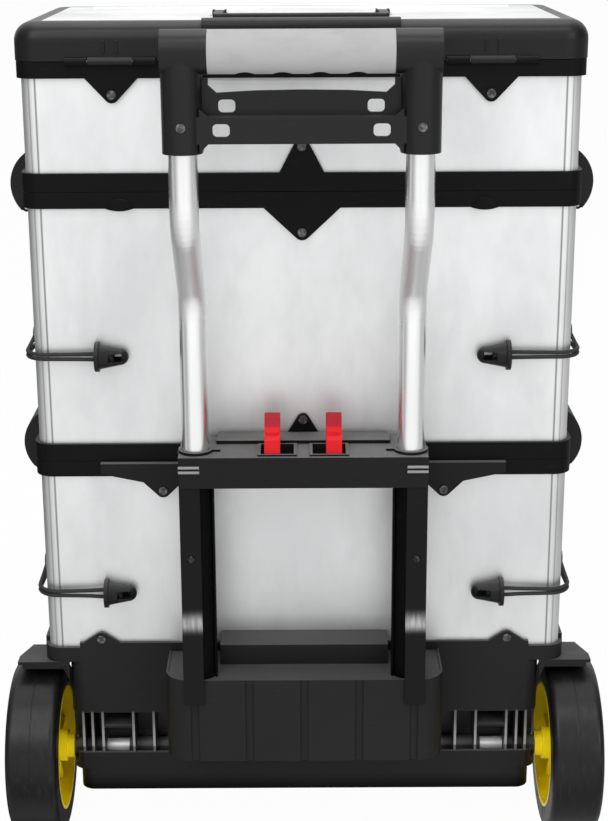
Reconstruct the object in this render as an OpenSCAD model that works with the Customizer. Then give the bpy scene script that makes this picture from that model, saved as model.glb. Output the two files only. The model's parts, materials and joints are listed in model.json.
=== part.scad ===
// Rolling tool box: a wheeled bin, a two-drawer cabinet and a tool box with a lid,
// stacked, latched together and drawn by a telescopic handle.
// Millimetres. +X is to the right seen from the handle side, +Y is the drawer side, +Z is up.

/* [Boxes] */
// Width of the steel bodies
body_w = 446; // [420:1:500]
// Depth of the steel bodies, front to back
body_d = 210; // [200:1:280]
// Outer corner radius of the steel bodies
corner_r = 12; // [8:1:16]
// Thickness of the steel sheet
sheet_t = 0.8; // [0.6:0.1:1.2]
// Visible height of the bin's steel
bin_h = 153; // [130:1:220]
// Visible height of the cabinet's steel
cabinet_h = 199; // [180:1:280]
// Visible height of the tool box's steel
toolbox_h = 75; // [65:1:140]
// Height of the plastic rim around the top of a box
rim_h = 13; // [12:0.5:20]
// Height of the plastic sill around the foot of a box
sill_h = 15; // [14:0.5:24]
// How far the plastic frames stand out of the steel
frame_out = 3.5; // [3:0.5:6]
// How deep the steel stands in a plastic frame
seat_d = 5; // [4:0.5:8]
// Wall of the moulded parts
wall = 3; // [2.5:0.5:4]

/* [Lid] */
// Height of the lid
lid_h = 30; // [28:1:50]
// How far the lid stands out of the steel
lid_out = 4.5; // [4:0.5:8]
// Radius of the lid's top edge
lid_r = 15; // [8:1:16]
// Radius of the lid's corners in plan
lid_corner_r = 20; // [18:1:26]
// Height of the raised pad at the lid's rear edge
pad_h = 2.5; // [1:0.5:4]
// Width of the raised pad
pad_w = 156; // [120:1:160]
// Middle of each hinge, from the middle of the lid
hinge_x = 150; // [130:1:170]
// Width of each hinge
hinge_w = 72; // [48:1:72]
// Radius of the hinge barrel
barrel_r = 3.2; // [3:0.1:4]
// Radius of the hinge pin
hinge_pin_r = 1.4; // [1.2:0.1:1.6]
// Angle to which the lid opens
lid_open = 95; // [60:1:100]

/* [Base] */
// Height of the base moulding's underside above the floor
ground_gap = 42; // [36:1:60]
// Height of the base moulding
base_h = 142; // [130:1:180]
// How far the base's sides step in beside the wheels
base_in = 18; // [16:0.5:24]
// Height of the wide band at the top of the base
band_h = 18; // [12:1:24]
// How far the handle housing stands out behind the rear panel
bulge_out = 64.5; // [63:0.5:72]
// Half width of the housing's flat face
bulge_x = 96; // [90:1:104]
// Height of the housing
bulge_h = 74; // [60:1:80]
// Drop from the top of the base to the top of the housing
bulge_drop = 8; // [4:1:14]
// Width of the ledge between the legs
ledge_w = 143; // [100:1:144]
// Height of the ledge above the top of the base
ledge_rise = 10; // [4:1:16]
// Width of each groove in the housing
groove_w = 7; // [4:0.5:10]
// Depth of each groove
groove_d = 2; // [1:0.5:2.5]

/* [Wheels] */
// Outer radius of the tyre
wheel_r = 76; // [70:1:80]
// Width of the tyre
wheel_w = 44; // [36:1:52]
// Radius of the hub's rim, inside the tyre
hub_r = 56; // [50:1:60]
// Number of ribs on each side of the hub
spokes = 6; // [5:1:8]
// Distance of the axle in front of the rear panel
axle_y = 15; // [10:1:25]
// Radius of the axle
axle_r = 6; // [5:0.5:8]
// Gap between the base's side and the wheel
wheel_gap = 8; // [6:0.5:14]

/* [Handle] */
// Radius of the handle's tubes
tube_r = 11; // [9:0.5:12]
// Distance of each tube from the middle
tube_x = 87.5; // [84:0.5:92]
// Distance of the lower tubes behind the rear panel
tube_out = 46; // [45:0.5:48]
// Distance of the grip behind the rear panel
grip_out = 110; // [104:1:130]
// Height of the grip's top above the lid
grip_rise = 1.8; // [0.5:0.1:4]
// Radius of the tubes' bends
bend_r = 35; // [30:1:50]
// Angle of the tubes' bends
bend_a = 45; // [35:1:50]
// Travel of the handle
handle_travel = 150; // [100:1:160]
// Height of the handle's end frame
yoke_h = 89; // [84:1:110]
// Outer radius of the grip
grip_r = 16; // [14:0.5:18]
// Half width of the grip
grip_x = 68; // [60:1:70]

/* [Crossbar and latches] */
// Height of the crossbar
bar_h = 26; // [22:1:30]
// Width of each release lever
lever_w = 12.8; // [10:0.2:16]
// Distance of each lever's middle from the middle of the crossbar
lever_x = 25; // [20:0.5:30]
// Travel of each lever
lever_travel = 8; // [5:0.5:9]
// Length of each side latch, along the box
latch_l = 90; // [60:1:110]
// Height of each side latch
latch_h = 49; // [44:1:60]
// How far a side latch stands out
latch_out = 18; // [15:0.5:20]
// Angle through which a side latch swings
latch_open = 80; // [45:1:90]
// Width of each front latch
clasp_w = 46; // [30:1:60]
// Distance of each front latch from the middle
clasp_x = 118; // [80:1:150]

/* [Drawers] */
// Width of the steel left at each side of the drawer openings
jamb = 24; // [23:1:36]
// Height of the steel left above, below and between the drawer openings
rail = 10; // [8:1:16]
// Thickness of a drawer's sheet
drawer_t = 1; // [0.8:0.1:1.5]
// Travel of the drawers
drawer_travel = 150; // [80:1:160]

/* [Cords] */
// Diameter of one strand of the elastic cords
cord_d = 3.4; // [3:0.1:4]
// Distance of each cord anchor from the middle
anchor_x = 171; // [160:1:180]

/* [Clearances] */
// Joint between stacked pieces
seam = 0.4; // [0.3:0.1:0.6]
// Clearance of pieces that slide or swing past each other
slide = 0.4; // [0.3:0.1:0.6]
// Radial clearance of a pin in its bore
run = 0.08; // [0.05:0.01:0.1]
// Clearance of a sheet in its groove
fit = 0.15; // [0.1:0.05:0.2]
// Clearance between a triangular tab and the sheet that it lies on
tab_gap = 0.3; // [0.25:0.05:0.5]

/* [Hidden] */
$fn = 64;
mid_y = body_d / 2;
cut = 1;

// Levels of the stack
base_top = ground_gap + base_h;
bin_rim_z = base_top + bin_h;
bin_top = bin_rim_z + rim_h;
cab_z = bin_top + seam;
cab_steel_z = cab_z + sill_h;
cab_rim_z = cab_steel_z + cabinet_h;
cab_top = cab_rim_z + rim_h;
box_z = cab_top + seam;
box_steel_z = box_z + sill_h;
box_rim_z = box_steel_z + toolbox_h;
box_top = box_rim_z + rim_h;
lid_z = box_top + seam;
lid_top = lid_z + lid_h;

// Base
sleeve_r = axle_r + 1.5;
frame_in = 4;
base_x = body_w / 2 - base_in;
bulge_end_r = 21;
housing_lip = 1;
housing_lip_w = 1.8;
bulge_top = base_top - bulge_drop;
bulge_z = bulge_top - bulge_h;
ledge_out = 31;
// Recess for the axle: a low lip hides its floor
recess_d = 31;
recess_z = (wheel_r - sleeve_r) - 2;
recess_top = recess_z + 50.5;
lip_top = recess_z + 12;
window_x0 = base_x - 54;
window_x1 = base_x - 27;
webs_x = [base_x - 72, window_x0, window_x1, base_x - 18, base_x - 10];
web_t = 2.2;
lug_x = base_x - 29;
foot_step = 5.5;
foot_step_z = 62;
shoulder_x = body_w / 2 - 28;
shoulder_h = 4.5;
gusset_t = 2.5;
gusset_tilt = 19;
fender_t = 2.7;
fender_lip = 12.5;
fender_slope = 17;
fender_l = 74;
fender_over = 37;
skirt_h = 4;
skirt_in = 4;
foot_h = ground_gap - 4;
foot_w = 44;
foot_d = 34;
pad_t = ground_gap - foot_h;
foot_x = base_x - 40;
foot_y = body_d - 24;

// Wheels
wheel_x0 = base_x + wheel_gap;
wheel_xm = wheel_x0 + wheel_w / 2;
axle_z = wheel_r;
axle_end = wheel_x0 + wheel_w + 5;
fender_end = wheel_x0 + fender_over;
boss_r = axle_r + 8;
shoulder_r = 6;
rim_t = 3;
dish_z = 20;
rib_in = 9;

// Straps
strap_w = 17;
strap_t = 3;
step_out = 1.4;

// Handle
sleeve_wall = 3.5;
leg_r = tube_r + sleeve_wall;
strap_y = tube_out + leg_r;
leg_rib = 9;
cross_out = tube_out + leg_r + 4;
cross_x = tube_x + leg_r - 1.2;
cross_top = cab_z + 22.5;
cross_z = cross_top - bar_h;
bar_gap = 1.2;
tube_z0 = bulge_z + 10;
bend_straight = (grip_out - tube_out - 2 * bend_r * (1 - cos(bend_a))) / sin(bend_a);
bend_rise = 2 * bend_r * sin(bend_a) + bend_straight * cos(bend_a);
yoke_z = lid_top + grip_rise - yoke_h;
bend_z1 = yoke_z - 42;
bend_z0 = bend_z1 - bend_rise;
grip_z = lid_top + grip_rise - grip_r;
arm_r = tube_r + 4;
socket_d = 60;
yoke_pin_r = 2.4;
pin_rise = 20;
tube_t = 1.5;

wing_t = 6;
wing_x = cross_x + 17.2;
wing_bend_x = cross_x + 31.2;
wing_end_x = cross_x + 69.2;
bar_step_out = 28;
lever_slot = lever_w + lever_travel + 6;
lever_y = -cross_out + 6.5;
plate_x = tube_x - arm_r + 2;

// Tray
tray_in = 12;
tray_d = 42;
tray_gap = 2.6;
tray_corner_r = 14;
tray_flange_h = rim_h - 5;

// Hinges
hinge_y = -lid_out - 1.6;
hinge_z = box_top + seam / 2;
knuckle_w = hinge_w / 4;

// Lid
plate_t = 1;
plate_in = lid_r + 7 - lid_out;
plate_slot_x = body_w / 2 - 28;
plate_slot_y = mid_y + 7;
plate_slot_w = 2.5;
pad_l = 19;
pad_r = 7;
pad_drop = 16;
pad_proud = 0.3;
handle_hx = 67;
handle_hy = 75;
handle_l = 42;
handle_t = 3.6;
handle_z = lid_top + 2.2;
handle_pin_r = 1.2;
arm_w = 7.2;
bracket_w = 15;
bracket_l = 14;
bracket_t = 1.6;
bracket_h = 4.4;

// Front latches
clasp_y = body_d + lid_out + 4.4;
clasp_z = lid_z + 7;
clasp_r = 4;
clasp_pin_r = 1.6;

// Latches
latch_y = mid_y;
side_x = body_w / 2 + frame_out;
pivot_u = 4.4;
pivot_r = 3.4;
latch_pin_r = 1.4;
knuckle_l = 7;
latch_t = 4;
cheek_t = 3;
tip_u = 3.4;
latch_mid = 0.375 * latch_h;
latch_R = (pow(latch_h - pivot_r - latch_mid, 2) + pow(latch_out - tip_u, 2)) / (2 * (latch_out - tip_u));
pivot_drop = 8.5;
bin_pivot_z = bin_rim_z - pivot_drop;
cab_pivot_z = cab_rim_z - pivot_drop;
// claw and catch, measured from the pivot
claw_t = 3;
claw_z = pivot_drop + rim_h + seam + sill_h - claw_t;
claw_u = 1.6;
catch_u = 2.6;
catch_t = 3;

// Thumb bumps
bump_x = 147;
bump_R = 26;
bump_out = 2.6;
bump_low_R = 37;
bump_top_R = 13;
bump_above = 8;
bump_below = 1.8;

// Drawers
open_w = body_w - 2 * jamb;
open_h = (cabinet_h - 3 * rail) / 2;
function drawer_z(i) = cab_steel_z + rail + i * (open_h + rail);
runner_w = 5;
drawer_side = open_w / 2 - runner_w - slide;
runner_h = 8;
drawer_l = body_d - 24;
face_t = 2;
face_lap = 3;
pull_w = 150;
pull_h = 14;
pull_out = 11;
pull_drop = 22;

// Cords
cord_out = 6;
anchor_l = 27.5;
cabinet_gap = 2.3;
bin_gap = 3;
loop_r = 5;
hook_y = 72;
pinch = cord_d / 2 + 0.15;
cabinet_cord_z = cab_steel_z + 76.6;
bin_cord_z = base_top + 47.8;

// Screws
screw_r = 1.9;
head_r = 3.6;
head_h = 1.4;
shank_l = 2.8;
base_screws = [for (s = [-1, 1]) [s * lug_x, base_top + 3.5]];
wing_screws = [for (s = [-1, 1]) [s * wing_x, bin_rim_z - 11]];
cab_screws = [[0, cab_steel_z + 21], [0, cab_rim_z - 20]];
box_screws = [[0, box_steel_z + 21], [-hinge_x, box_rim_z - 13], [hinge_x, box_rim_z - 13]];

black = [0.12, 0.12, 0.125];
steel = [0.86, 0.87, 0.88];
zinc = [0.6, 0.61, 0.63];

// ---------- shared shapes ----------

// Rounded rectangle in plan, centred on the boxes
module plan(w, d, r)
  translate([0, mid_y]) {
    square([w - 2 * r, d], center = true);
    square([w, d - 2 * r], center = true);
    for (sx = [-1, 1], sy = [-1, 1])
      translate([sx * (w / 2 - r), sy * (d / 2 - r)]) circle(r);
  }

// The steel body's outline, grown on every side
module outline(grow)
  plan(body_w + 2 * grow, body_d + 2 * grow, max(corner_r + grow, 2));

module slab(z, h, grow)
  translate([0, 0, z]) linear_extrude(h) outline(grow);

module ring(z, h, out, in)
  translate([0, 0, z]) linear_extrude(h)
    difference() {
      outline(out);
      outline(-in);
    }

// A sheet wrapped round a body between two heights
module wrap(z0, z1)
  ring(z0, z1 - z0, 0, sheet_t);

// The groove in a frame that takes the sheet's edge
module groove(z0, z1)
  ring(z0, z1 - z0, fit, sheet_t + fit);

// Frame round the top of a box; the sheet stands in its lower face
module rim(z)
  difference() {
    ring(z, rim_h, frame_out, frame_in);
    groove(z - cut, z + seat_d);
  }

// Frame round the foot of a box, with its floor
module sill(z)
  difference() {
    union() {
      slab(z, wall, frame_out);
      ring(z, sill_h, frame_out, frame_in);
    }
    groove(z + sill_h - seat_d, z + sill_h + cut);
  }

// Draws an X-Z outline on the rear panel, from the sheet outwards
module on_rear(t = frame_out - tab_gap, from = tab_gap)
  translate([0, -from, 0]) rotate([90, 0, 0]) linear_extrude(t) children();

// Triangle on the X axis with a round tip: half width a, height h, tip radius r
module tab(a, h, r) {
  slope = atan2(h - r, a) + asin(r / norm([a, h - r]));
  tip = [for (i = [-4:4]) [r * sin(i * slope / 4), h - r + r * cos(i * slope / 4)]];
  polygon(concat([[-a, -cut], [-a, 0]], tip, [[a, 0], [a, -cut]]));
}

// Rod along Y or X
module rod_y(r, y0, y1, x, z)
  translate([x, y1, z]) rotate([90, 0, 0]) cylinder(r = r, h = y1 - y0);
module rod_x(r, x0, x1, y, z)
  translate([x0, y, z]) rotate([0, 90, 0]) cylinder(r = r, h = x1 - x0);

module screw_holes(points, face = frame_out)
  for (p = points)
    rod_y(screw_r + run, -face - cut, -face + shank_l + 0.2, p[0], p[1]);

module screws(points, face = frame_out)
  color(zinc) for (p = points)
    difference() {
      union() {
        rod_y(head_r, -face - head_h, -face, p[0], p[1]);
        rod_y(screw_r, -face, -face + shank_l, p[0], p[1]);
      }
      for (a = [45, 135])
        translate([p[0], -face - head_h, p[1]]) rotate([0, a, 0]) cube([4.6, 1.4, 1], center = true);
    }

// Copies to the left and right
module sides()
  for (s = [0, 1]) mirror([s, 0, 0]) children();

// ---------- base and bin ----------

module bulge_plan(in)
  difference() {
    union() {
      translate([-bulge_x, -bulge_out + in]) square([2 * bulge_x, bulge_out - in]);
      for (s = [-1, 1]) {
        translate([s * bulge_x, -bulge_out + bulge_end_r]) circle(bulge_end_r - in);
        translate([s > 0 ? 0 : -bulge_x - bulge_end_r + in, -bulge_out + bulge_end_r])
          square([bulge_x + bulge_end_r - in, bulge_out - bulge_end_r]);
      }
    }
    translate([-body_w / 2, -frame_out + in]) square([body_w, body_d]);
  }

module tub_plan(in)
  plan(2 * base_x - 2 * in, body_d + 2 * frame_out - 2 * in, corner_r - in);

// Recess for the axle; inside, its floor lies lower than the lip of the rear wall
module recess(grow) {
  translate([-body_w / 2, -frame_out - cut, lip_top - grow])
    cube([body_w, recess_d + cut + grow, recess_top - lip_top + 2 * grow]);
  translate([-body_w / 2, -frame_out + wall - grow, recess_z - grow])
    cube([body_w, recess_d - wall + 2 * grow, lip_top - recess_z + 2 * grow]);
}

module foot(h)
  for (s = [-1, 1])
    translate([s * foot_x, foot_y, ground_gap]) rotate([90, 0, 0])
      translate([0, 0, -foot_d / 2]) linear_extrude(foot_d)
        polygon([[-foot_w / 2, 0.5], [-foot_w / 2 + 5, -h], [foot_w / 2 - 5, -h], [foot_w / 2, 0.5]]);

// Hollow tub; its foot steps in beside the wheels
module tub()
  difference() {
    union() {
      translate([0, 0, foot_step_z]) linear_extrude(base_top - band_h - foot_step_z) tub_plan(0);
      translate([0, 0, ground_gap]) linear_extrude(foot_step_z - ground_gap + cut)
        plan(2 * (base_x - foot_step), body_d + 2 * frame_out, corner_r);
    }
    difference() {
      union() {
        translate([0, 0, foot_step_z + wall]) linear_extrude(base_h) tub_plan(wall);
        translate([0, 0, ground_gap + wall]) linear_extrude(foot_step_z)
          plan(2 * (base_x - foot_step - wall), body_d + 2 * (frame_out - wall), corner_r - wall);
      }
      recess(wall);
    }
    recess(0);
  }

// Webs and the bridge over each axle window
module axle_webs()
  for (s = [-1, 1]) {
    for (x = webs_x)
      translate([s * x - web_t / 2, -frame_out, recess_z - cut])
        cube([web_t, recess_d + frame_out + cut, recess_top - recess_z + 2 * cut]);
    translate([s > 0 ? window_x0 : -window_x1, -frame_out, recess_top - 15])
      cube([window_x1 - window_x0, recess_d + frame_out + cut, web_t]);
  }

// Sloping gusset from the rear panel to the lower edge of the housing
module gussets()
  sides() translate([0, -frame_out + cut, lip_top + 4]) rotate([-gusset_tilt, 0, 0])
    linear_extrude(gusset_t) polygon([[window_x0 + 3, 0], [bulge_x + bulge_end_r - 1.5, 0],
      [bulge_x + bulge_end_r - 1.5, -bulge_out + bulge_end_r], [bulge_x + 9, -bulge_out + 7],
      [bulge_x + 3, -bulge_out + 2]]);

module housing()
  difference() {
    union() {
      translate([0, 0, bulge_z]) linear_extrude(bulge_h) bulge_plan(0);
      // raised lip round the top
      translate([0, 0, bulge_top - cut]) linear_extrude(cut + housing_lip) difference() {
        bulge_plan(0);
        bulge_plan(housing_lip_w);
      }
    }
    translate([0, 0, bulge_z - cut]) linear_extrude(bulge_h - wall + cut) bulge_plan(wall);
    for (i = [-2:2])
      translate([i * bulge_x / 2 * 0.96 - groove_w / 2, -bulge_out - cut, bulge_z - cut])
        cube([groove_w, groove_d + cut, bulge_h + 4 * cut]);
  }

module base()
  color(black) difference() {
    union() {
      tub();
      // wide band that carries the steel
      difference() {
        slab(base_top - band_h, band_h, frame_out);
        translate([0, 0, base_top - band_h + wall]) linear_extrude(band_h) outline(-frame_in);
        translate([0, 0, base_top - band_h - cut]) linear_extrude(wall + cut) tub_plan(wall);
      }
      axle_webs();
      // sleeves round the axle, open at the windows
      sides() {
        rod_x(sleeve_r, bulge_x + bulge_end_r - wall, window_x0 + 5.6, axle_y, axle_z);
        rod_x(sleeve_r, window_x1 - 1.5, base_x, axle_y, axle_z);
      }
      housing();
      gussets();
      // ledge between the legs
      translate([-ledge_w / 2, -ledge_out, bulge_top - cut])
        cube([ledge_w, ledge_out - tab_gap, bulge_drop + ledge_rise + cut]);
      // lugs for the screws
      for (s = [-1, 1]) translate([s * lug_x, 0, base_top]) on_rear() tab(16, 9.5, 6);
      foot(foot_h);
    }
    groove(base_top - seat_d, base_top + cut);
    // the rear panel is lower at both shoulders
    for (s = [-1, 1])
      translate([s > 0 ? shoulder_x : -body_w, -frame_out - cut, base_top - shoulder_h])
        cube([body_w - shoulder_x, frame_out + cut + corner_r, band_h]);
    for (s = [-1, 1])
      translate([s * tube_x, -tube_out, bulge_top - wall - cut])
        cylinder(r = tube_r + slide, h = wall + 3 * cut);
    rod_x(axle_r, -body_w, body_w, axle_y, axle_z);
    screw_holes(base_screws);
  }

module foot_pads()
  color([0.07, 0.07, 0.07])
    for (s = [-1, 1])
      translate([s * foot_x, foot_y, pad_t / 2]) cube([foot_w - 10, foot_d, pad_t], center = true);

module bin_shell()
  color(steel) wrap(base_top - seat_d, bin_rim_z + seat_d);

module bin_rim()
  color(black) difference() {
    union() {
      rim(bin_rim_z);
      latch_knuckles(bin_pivot_z);
    }
    latch_bores(bin_pivot_z);
  }

module bin_screws() {
  screws(base_screws);
  screws(wing_screws, frame_out + wing_t);
}

// Guard over the wheel: flat lip at the rear, then sloping down to the front
module fender()
  color(black) difference() {
    union() {
      translate([base_x, -frame_out, base_top - band_h - fender_t]) {
        rotate([90, 0, 90]) linear_extrude(fender_end - base_x) fender_profile(fender_t);
        // skirt behind the edge
        rotate([90, 0, 90]) linear_extrude(fender_end - base_x - skirt_in) fender_profile(fender_t + skirt_h);
      }
      // brace to the side of the base
      translate([base_x, -frame_out + 2, base_top - band_h - fender_t]) rotate([90, 0, 0])
        linear_extrude(web_t) polygon([[0, 0.5], [wheel_gap - 1.5, 0.5], [0, -16]]);
    }
    // hollow under the skirt
    translate([base_x - cut, -frame_out + skirt_in - 1.5, base_top - band_h - fender_t - 3 * skirt_h])
      rotate([90, 0, 90]) linear_extrude(fender_end - base_x - 2 * skirt_in + cut)
        polygon([[0, 0], [0, 3 * skirt_h], [fender_lip, 3 * skirt_h],
          [fender_lip + fender_l, 3 * skirt_h - fender_l * tan(fender_slope)], [fender_lip + fender_l, -30]]);
  }
module fender_profile(t)
  polygon([[0, fender_t], [fender_lip, fender_t], [fender_lip + fender_l, fender_t - fender_l * tan(fender_slope)],
    [fender_lip + fender_l, fender_t - t - fender_l * tan(fender_slope)], [fender_lip, fender_t - t], [0, fender_t - t]]);
module fender_right() fender();
module fender_left() mirror([1, 0, 0]) fender();

// ---------- axle and wheels ----------

module axle()
  color(zinc) rod_x(axle_r, -axle_end, axle_end, axle_y, axle_z);

module axle_caps()
  color(black) sides()
    translate([axle_end, axle_y, axle_z]) rotate([0, 90, 0]) {
      cylinder(r = axle_r + 5, h = 2);
      translate([0, 0, 2]) cylinder(r = axle_r + 3, h = 2);
    }

// Wheel parts are drawn round the Z axis, their inner face at zero
module at_wheel(s)
  mirror([s < 0 ? 1 : 0, 0, 0]) translate([wheel_x0, axle_y, axle_z]) rotate([0, 90, 0]) children();

module tyre()
  color([0.08, 0.08, 0.085]) rotate_extrude() {
    translate([hub_r, 0]) square([wheel_r - hub_r - shoulder_r, wheel_w]);
    translate([hub_r, shoulder_r]) square([wheel_r - hub_r, wheel_w - 2 * shoulder_r]);
    for (z = [shoulder_r, wheel_w - shoulder_r]) translate([wheel_r - shoulder_r, z]) circle(shoulder_r);
  }

module hub()
  color([0.88, 0.78, 0.08]) difference() {
    union() {
      rotate_extrude() {
        // rim
        translate([hub_r - rim_t, 0]) square([rim_t, wheel_w]);
        // dished disc, deeper at the boss
        polygon([[boss_r - 2, dish_z - 2], [hub_r - 2, dish_z + 3], [hub_r - 2, dish_z + 7], [boss_r - 2, dish_z + 4]]);
      }
      // boss runs up to the base's side, with a collar at its end
      translate([0, 0, -wheel_gap + slide]) cylinder(r = boss_r - 3, h = wheel_w + wheel_gap - slide);
      translate([0, 0, -1]) cylinder(r = boss_r, h = wheel_w + 1);
      for (i = [0:spokes - 1]) rotate([0, 0, (i + 0.5) * 360 / spokes])
        translate([boss_r - 2, -1.8, rib_in]) cube([hub_r - rim_t - boss_r + 4, 3.6, wheel_w - 2 * rib_in]);
    }
    translate([0, 0, -wheel_gap - cut]) cylinder(r = axle_r + run, h = wheel_w + wheel_gap + 2 * cut);
  }
module hub_right() at_wheel(1) hub();
module hub_left() at_wheel(-1) hub();
module tyre_right() at_wheel(1) tyre();
module tyre_left() at_wheel(-1) tyre();

// ---------- handle guides ----------

module crossbar_block()
  translate([-cross_x, -cross_out, cross_z])
    cube([2 * cross_x, cross_out - frame_out - bar_gap, bar_h]);

module crossbar()
  color(black) difference() {
    union() {
      difference() {
        crossbar_block();
        translate([-cross_x + wall, -cross_out + wall, cross_z - cut])
          cube([2 * (cross_x - wall), cross_out - frame_out - bar_gap - 2 * wall, bar_h - wall + cut]);
      }
      // raised step between the tubes
      difference() {
        translate([-ledge_w / 2, -bar_step_out, cross_z])
          cube([ledge_w, bar_step_out - frame_out - bar_gap, bar_h + wall]);
        translate([-ledge_w / 2 + wall, -bar_step_out + wall, cross_z - cut])
          cube([ledge_w - 2 * wall, bar_step_out - frame_out - bar_gap - 2 * wall, bar_h + cut]);
      }
      for (s = [-1, 1])
        translate([s * tube_x, -tube_out, cross_z]) cylinder(r = leg_r, h = bar_h);
      // two small steps over each strap
      sides() for (z = [13, 17])
        translate([cross_x - strap_w, -cross_out - step_out, cross_z + z]) cube([strap_w, step_out + cut, 2]);
      // rims of the lever slots
      for (s = [-1, 1])
        translate([s * (lever_x - lever_travel / 2) - lever_slot / 2 - 2.5, lever_y - 3, cross_top - cut])
          cube([lever_slot + 5, 30.5, cut + 1.5]);
      // wings on the bin's rim
      for (s = [-1, 1]) translate([s * wing_x, 0, bin_rim_z]) on_rear(wing_t, frame_out)
        mirror([0, 1]) tab(20, 17, 6);
      on_rear(wing_t, frame_out)
        for (m = [0, 1]) mirror([m, 0, 0])
          polygon([[cross_x - wall, bin_top - 0.2], [wing_end_x, bin_top - 0.2], [wing_end_x, bin_rim_z + 4],
            [wing_bend_x, bin_rim_z - 4], [cross_x - wall, bin_rim_z - 6]]);
      translate([-cross_x, -frame_out - wing_t, bin_rim_z - 4])
        cube([2 * cross_x, wing_t, cross_z - bin_rim_z + 6]);
    }
    for (s = [-1, 1])
      translate([s * tube_x, -tube_out, cross_z - cut]) cylinder(r = tube_r + slide, h = bar_h + 5);
    for (s = [-1, 1])
      translate([s * (lever_x - lever_travel / 2) - lever_slot / 2, lever_y - 1, cross_top - 10])
        cube([lever_slot, 26.5, 20]);
    // ways for the lock bars
    for (s = [-1, 1])
      translate([s * (tube_x - leg_r + 2), -tube_out, cross_z + 11]) cube([leg_r, 10.8, 4.8], center = true);
    screw_holes(wing_screws, frame_out + wing_t);
  }

module leg()
  color(black) difference() {
    union() {
      translate([tube_x, -tube_out, bulge_top]) cylinder(r = leg_r, h = cross_z - bulge_top);
      translate([tube_x, -tube_out, bulge_top]) cube([leg_r - 1.2, leg_r - 1, cross_z - bulge_top]);
      // rib down the inner edge
      translate([tube_x - leg_r, -tube_out - leg_rib, bulge_top]) cube([1.6, leg_rib, cross_z - bulge_top]);
    }
    translate([tube_x, -tube_out, bulge_top - cut]) cylinder(r = tube_r + slide, h = cross_z);
  }
module leg_right() leg();
module leg_left() mirror([1, 0, 0]) leg();

// Flat straps that brace the legs to the housing
module leg_straps()
  color(black) sides() translate([tube_x + leg_r - strap_w - 1.2, 0, 0]) {
    rotate([90, 0, 90]) linear_extrude(strap_w) polygon([
      [-strap_y, cross_z - 0.2], [-strap_y - strap_t, cross_z - 0.2],
      [-strap_y - strap_t, bulge_top + 62], [-bulge_out - strap_t, bulge_top + 34],
      [-bulge_out - strap_t, bulge_top - 20], [-bulge_out, bulge_top - 20],
      [-bulge_out, bulge_top + 32.5], [-strap_y, bulge_top + 61]]);
  }

module tube_collars()
  color(black) for (s = [-1, 1])
    translate([s * tube_x, -tube_out, cross_top]) difference() {
      union() {
        cylinder(r = tube_r + 3, h = 2.4);
        translate([-s * 10, 0, 1]) cube([20, 4, 2], center = true);
      }
      translate([0, 0, -cut]) cylinder(r = tube_r + slide, h = 5);
    }

// ---------- handle ----------

// Points of the S-bend, each with a direction square to the bend's plane
function bend_points() =
  let (lean = [for (a = [0:bend_a / 6:bend_a]) a],
       low = [for (a = lean) [-tube_out - bend_r * (1 - cos(a)), bend_z0 + bend_r * sin(a)]],
       high = [for (a = reversed(lean)) [-grip_out + bend_r * (1 - cos(a)), bend_z1 - bend_r * sin(a)]])
  [for (p = concat([[-tube_out, bend_z0 - 2]], low, high, [[-grip_out, bend_z1 + 2]])) [[0, p[0], p[1]], [1, 0, 0]]];

// One wall of the tube: upright, S-bend away from the box, upright into the yoke
module tube_run(r, over = 0) {
  translate([0, -tube_out, tube_z0 - over]) cylinder(r = r, h = bend_z0 - tube_z0 + over);
  sweep(bend_points(), r - 0.02, 36);
  translate([0, -grip_out, bend_z1]) cylinder(r = r, h = yoke_z + socket_d - bend_z1 + over);
}
module tube()
  color([0.9, 0.9, 0.92]) difference() {
    tube_run(tube_r);
    tube_run(tube_r - tube_t, cut);
    rod_y(yoke_pin_r + run, -grip_out - arm_r, -grip_out, 0, yoke_z + pin_rise);
  }
module tube_right() translate([tube_x, 0, 0]) tube();
module tube_left() translate([-tube_x, 0, 0]) tube();

module tube_plugs()
  color(black) for (s = [-1, 1])
    translate([s * tube_x, -tube_out, tube_z0 - 4]) {
      cylinder(r = tube_r, h = 4);
      cylinder(r = tube_r - 1.7, h = 16);
    }

// Rounded slot through a cross plate, at both sides
module plate_slots(x, z)
  for (s = [-1, 1]) rounded_slot(s * x, z);
module rounded_slot(x, z) {
  translate([x - 3, z - 4.75]) square([6, 9.5]);
  translate([x - 6.25, z - 1.75]) square([12.5, 3.5]);
  for (a = [-1, 1], b = [-1, 1]) translate([x + a * 3, z + b * 1.5]) circle(3.25);
}

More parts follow.
